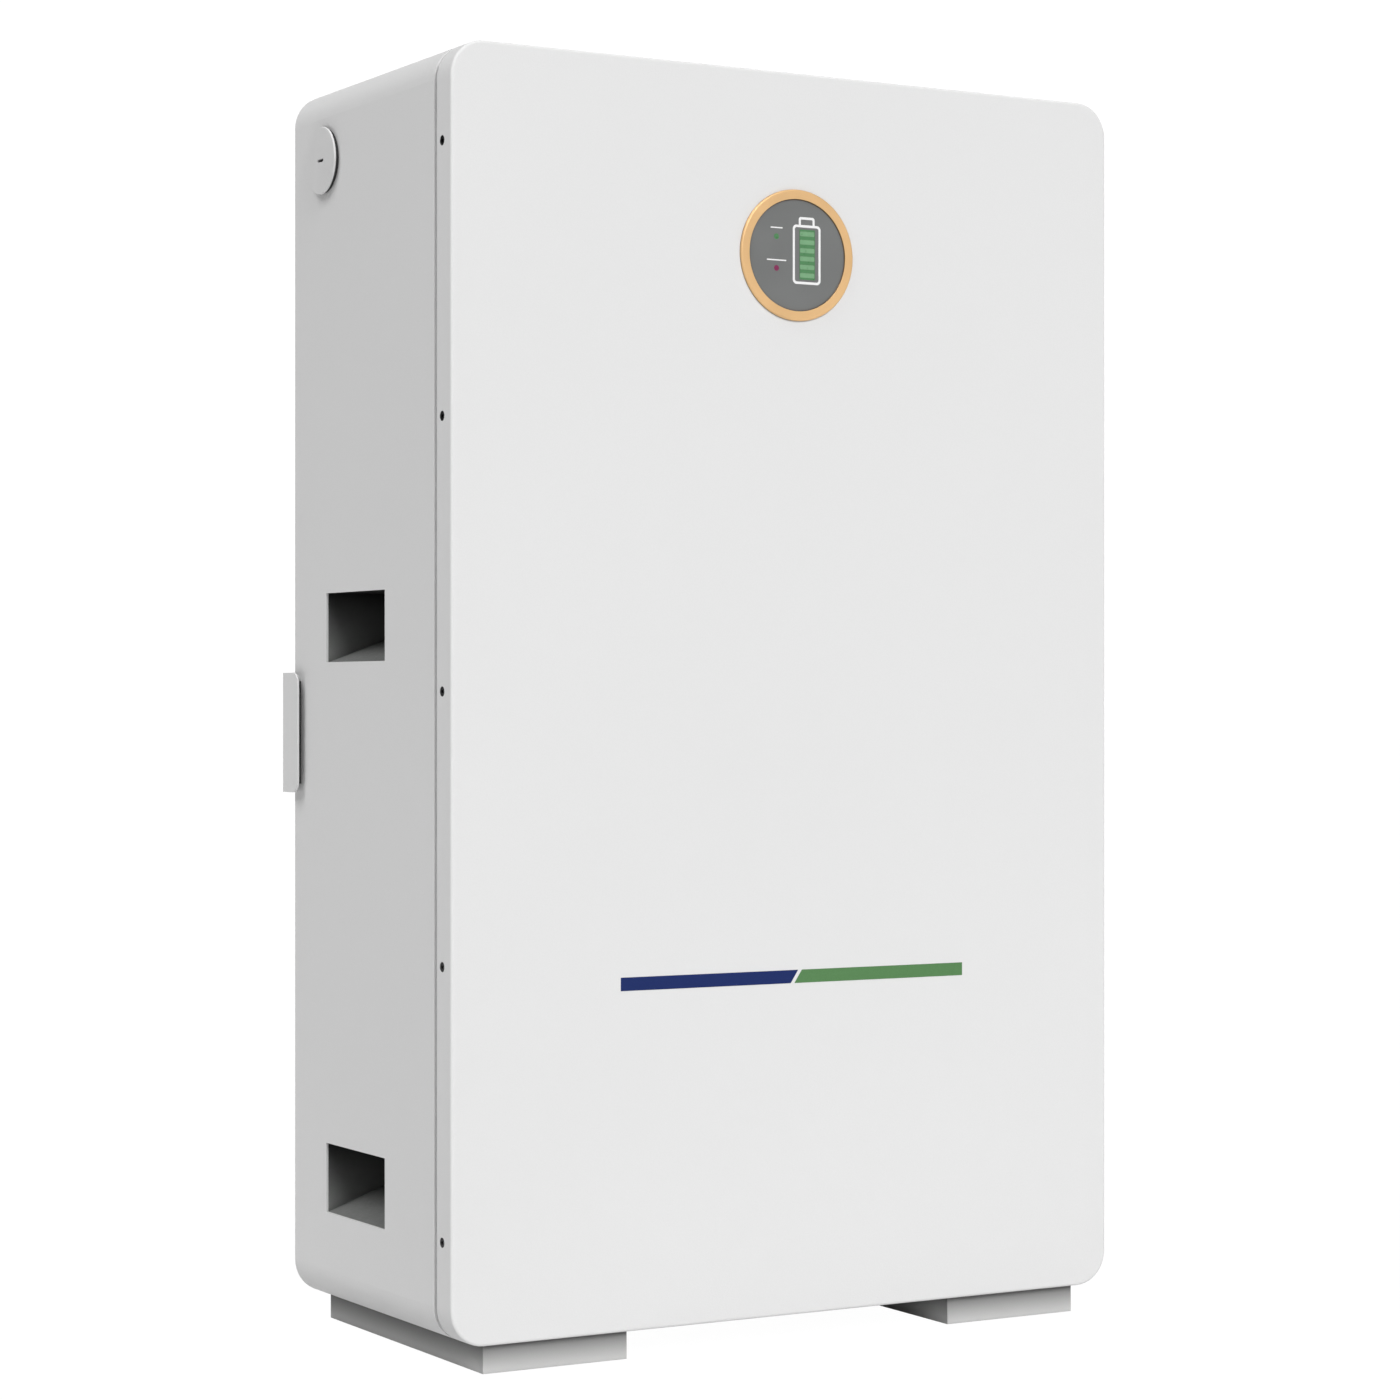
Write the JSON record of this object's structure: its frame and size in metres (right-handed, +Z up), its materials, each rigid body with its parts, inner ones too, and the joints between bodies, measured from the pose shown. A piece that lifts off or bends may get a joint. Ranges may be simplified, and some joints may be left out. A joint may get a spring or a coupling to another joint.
{
  "type": "wall battery unit",
  "caption": "Floor-standing home storage battery held to the wall by a bracket: steel housing, front cover with round charge display, side hand grips, connection recess.",
  "frame": {"origin": "centre of the footprint (the whole unit's box), on the floor", "axes": "+Z up; the front cover faces -Y and the wall is at +Y; +X is on the right as seen from the front"},
  "size_m": [0.536, 0.262, 0.87],
  "materials": {
    "white_powder_coat": "fine-texture matt powder coat",
    "light_grey_powder_coat": "fine-texture matt powder coat",
    "grey_powder_coat": "matt dark grey powder coat",
    "white_cap_plastic": "moulded satin",
    "black_screw_steel": "black zinc",
    "zinc_steel": "zinc plated",
    "black_rubber": "moulded rubber",
    "gold_ring": "light orange gold anodised",
    "grey_lens": "smoked acrylic",
    "white_print": "printed white",
    "green_light": "translucent green",
    "red_light": "translucent red",
    "black_plastic": "moulded black",
    "grey_plastic": "moulded grey",
    "white_plastic": "moulded white",
    "red_plastic": "moulded red",
    "orange_plastic": "moulded orange",
    "circuit_board": "green solder mask",
    "nickel_brass": "satin nickel",
    "brass": "turned brass",
    "aluminium": "bare",
    "cell_wrap": "blue film",
    "insulation_sheet": "epoxy sheet",
    "red_cable": "red insulation"
  },
  "bodies": {
    "housing": {"alarm_light": "red_light", "battery_cells": "cell_wrap", "battery_symbol": "white_print", "bms_board": "circuit_board", "bms_heatsink": "aluminium", "bms_plate": "zinc_steel", "bracket_pads": "black_rubber", "breaker_body": "grey_plastic", "breaker_pin": "zinc_steel", "breaker_rail": "zinc_steel", "busbar_nuts": "zinc_steel", "cell_busbars": "aluminium", "cell_separators": "insulation_sheet", "charge_light_bars": "green_light", "comm_jacks": "black_plastic", "connector_plate": "grey_powder_coat", "countersunk_screws": "black_screw_steel", "cover_gasket": "black_rubber", "dip_switch_body": "red_plastic", "display_back_can": "black_plastic", "display_bezel": "gold_ring", "display_board": "circuit_board", "display_lens": "grey_lens", "display_ring_nut": "black_plastic", "feet": "light_grey_powder_coat", "foot_bolts": "zinc_steel", "foot_pads": "black_rubber", "front_cover": "white_powder_coat", "front_frame": "white_powder_coat", "ground_stud": "brass", "handle_cups": "grey_powder_coat", "hanger_plate": "zinc_steel", "main_fuse": "white_plastic", "negative_cables": "black_rubber", "pack_end_plates": "aluminium", "pack_mounts": "zinc_steel", "positive_cables": "red_cable", "power_button_barrel": "nickel_brass", "power_socket_contacts": "brass", "power_sockets_negative": "black_plastic", "power_sockets_positive": "orange_plastic", "pressure_vent": "black_plastic", "rear_housing": "white_powder_coat", "recess_frame": "grey_powder_coat", "reset_switch_body": "black_plastic", "run_light": "green_light", "sense_boards": "circuit_board", "side_cap_bayonet_ring": "zinc_steel", "side_cap_gasket": "black_rubber", "side_panels": "white_powder_coat", "wall_bracket": "white_powder_coat", "weld_nuts": "zinc_steel"},
    "side_cap_body": {"side_cap": "white_cap_plastic"},
    "breaker_lever_body": {"breaker_lever": "black_plastic"},
    "power_button_body": {"power_button": "black_plastic"},
    "reset_button_body": {"reset_button": "red_plastic"},
    "dip_slider_1_body": {"dip_slider_1": "white_plastic"},
    "dip_slider_2_body": {"dip_slider_2": "white_plastic"},
    "dip_slider_3_body": {"dip_slider_3": "white_plastic"},
    "dip_slider_4_body": {"dip_slider_4": "white_plastic"}
  },
  "joints": [
    {"name": "side_cap_turn", "type": "hinge", "parent": "housing", "child": "side_cap_body", "pos_m": [-0.262, 0.0704, 0.816], "axis": [-1, 0, 0], "range_deg": [0, 90]},
    {"name": "breaker_toggle", "type": "hinge", "parent": "housing", "child": "breaker_lever_body", "pos_m": [0.2235, -0.01, 0.755], "axis": [0, 1, 0], "range_deg": [0, 70]},
    {"name": "power_button_press", "type": "slide", "parent": "housing", "child": "power_button_body", "axis": [-1, 0, 0], "range_m": [0, 0.003], "stiffness_N_per_m": 700, "springref_m": -0.001},
    {"name": "reset_button_press", "type": "slide", "parent": "housing", "child": "reset_button_body", "axis": [-1, 0, 0], "range_m": [0, 0.0015], "stiffness_N_per_m": 600, "springref_m": -0.001},
    {"name": "dip_slider_1_slide", "type": "slide", "parent": "housing", "child": "dip_slider_1_body", "axis": [0, 0, 1], "range_m": [0, 0.0018]},
    {"name": "dip_slider_2_slide", "type": "slide", "parent": "housing", "child": "dip_slider_2_body", "axis": [0, 0, 1], "range_m": [0, 0.0018]},
    {"name": "dip_slider_3_slide", "type": "slide", "parent": "housing", "child": "dip_slider_3_body", "axis": [0, 0, 1], "range_m": [0, 0.0018]},
    {"name": "dip_slider_4_slide", "type": "slide", "parent": "housing", "child": "dip_slider_4_body", "axis": [0, 0, 1], "range_m": [0, 0.0018]}
  ]
}
